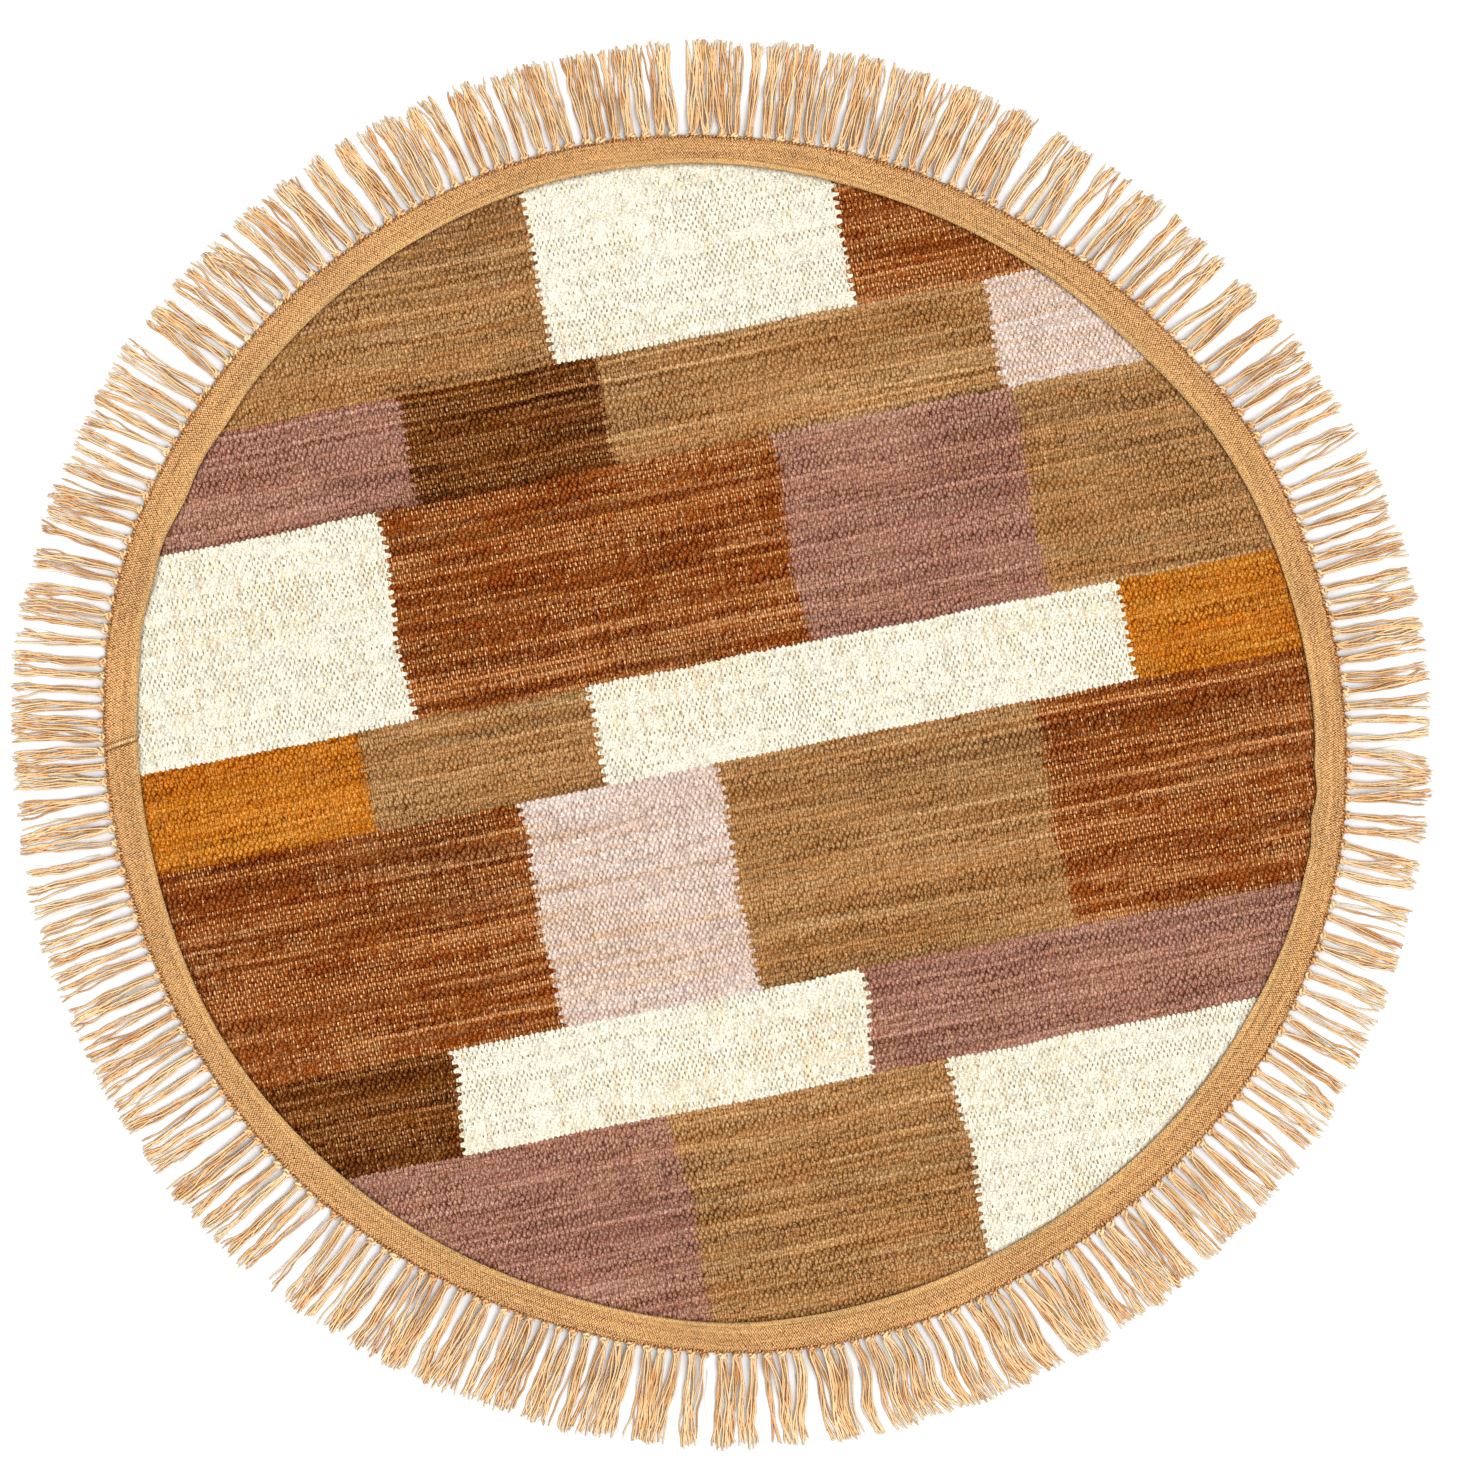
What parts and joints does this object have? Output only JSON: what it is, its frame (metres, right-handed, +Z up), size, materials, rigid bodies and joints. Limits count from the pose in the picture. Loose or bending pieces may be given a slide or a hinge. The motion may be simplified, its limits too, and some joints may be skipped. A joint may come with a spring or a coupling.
{
  "type": "cotton rug",
  "caption": "Round flat-woven cotton rug in blocks of colour, its rim bound with folded tape and edged all round with a knotted fringe.",
  "frame": {"origin": "on the floor under the middle of the rug, measured over the fringe", "axes": "+Z up out of the rug's face, +X to the right and +Y away, with the weft running at about 11 degrees to +X"},
  "size_m": [1.3944, 1.3824, 0.0062],
  "materials": {
    "field_weave": "matte plain-woven cotton with bulky weft yarns, in blocks of brown, taupe, cream, dusty rose, blush and ochre",
    "edge_tape": "matte tan cotton tape in a fine close weave",
    "fringe_yarn": "matte tan cotton yarn, loosely twisted"
  },
  "bodies": {
    "root": {"woven_field": "field_weave", "edge_tape": "edge_tape", "fringe": "fringe_yarn"}
  },
  "joints": []
}
